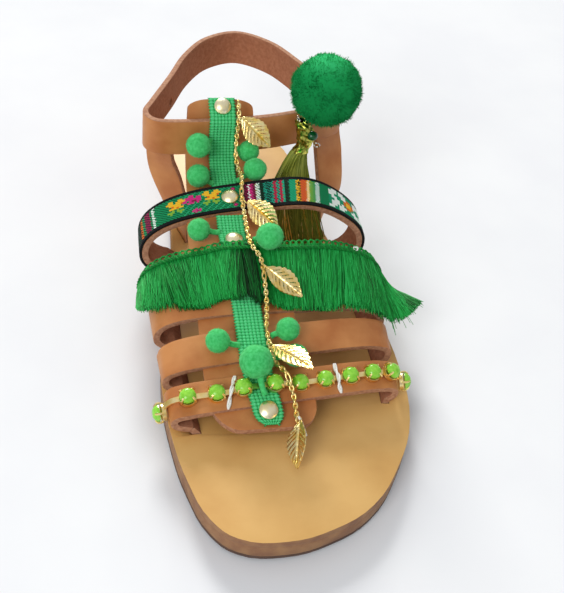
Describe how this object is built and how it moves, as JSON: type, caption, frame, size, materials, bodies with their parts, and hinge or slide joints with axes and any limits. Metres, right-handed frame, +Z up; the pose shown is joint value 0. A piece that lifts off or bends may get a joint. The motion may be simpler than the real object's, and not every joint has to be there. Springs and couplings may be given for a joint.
{
  "type": "bohemian sandal",
  "caption": "Flat leather sandal for the left foot with cross straps, a central tongue and an ankle loop, trimmed with woven tape, fringe, pom-poms, a tassel, stones and gold leaves.",
  "frame": {"origin": "on the floor under the middle of the sole's length", "axes": "-Y towards the toe, +X towards the outer side of the foot, +Z up"},
  "size_m": [0.109, 0.246, 0.0891],
  "materials": {
    "outsole_rubber": "matt dark rubber",
    "sole_edge": "brown dyed and waxed leather edge",
    "footbed_leather": "smooth natural tan leather",
    "strap_leather": "smooth tan strap leather with cut edges",
    "woven_tape": "matt green woven cotton tape",
    "green_felt": "felted green wool",
    "patterned_ribbon": "jacquard ribbon in green with woven stripes and figures",
    "fringe_thread": "silky deep green viscose thread",
    "pompom_yarn": "cut acrylic yarn with a short pile",
    "tassel_thread": "olive silk thread with gold tips",
    "gold_plate": "bright gold plated brass",
    "lime_stone": "opaque lime green resin with cut facets"
  },
  "bodies": {
    "root": {"outsole": "outsole_rubber", "midsole": "sole_edge", "insole": "footbed_leather", "upper": "strap_leather", "tape_front": "woven_tape", "tape_back": "woven_tape", "pompom_01": "green_felt", "pompom_02": "green_felt", "pompom_03": "green_felt", "pompom_04": "green_felt", "pompom_05": "green_felt", "pompom_06": "green_felt", "pompom_07": "green_felt", "pompom_08": "green_felt", "pompom_09": "green_felt", "pompom_10": "green_felt", "rivet_01": "gold_plate", "rivet_02": "gold_plate", "rivet_03": "gold_plate", "rivet_04": "gold_plate", "woven_ribbon": "patterned_ribbon", "fringe": "fringe_thread", "stone_chain": "gold_plate", "stone_01": "lime_stone", "stone_02": "lime_stone", "stone_03": "lime_stone", "stone_04": "lime_stone", "stone_05": "lime_stone", "stone_06": "lime_stone", "stone_07": "lime_stone", "stone_08": "lime_stone", "stone_09": "lime_stone", "stone_10": "lime_stone", "stone_11": "lime_stone", "leaf_chain": "gold_plate", "leaf_1": "gold_plate", "leaf_2": "gold_plate", "leaf_3": "gold_plate", "leaf_4": "gold_plate", "leaf_5": "gold_plate", "ankle_pompom": "pompom_yarn", "tassel": "tassel_thread"}
  },
  "joints": []
}
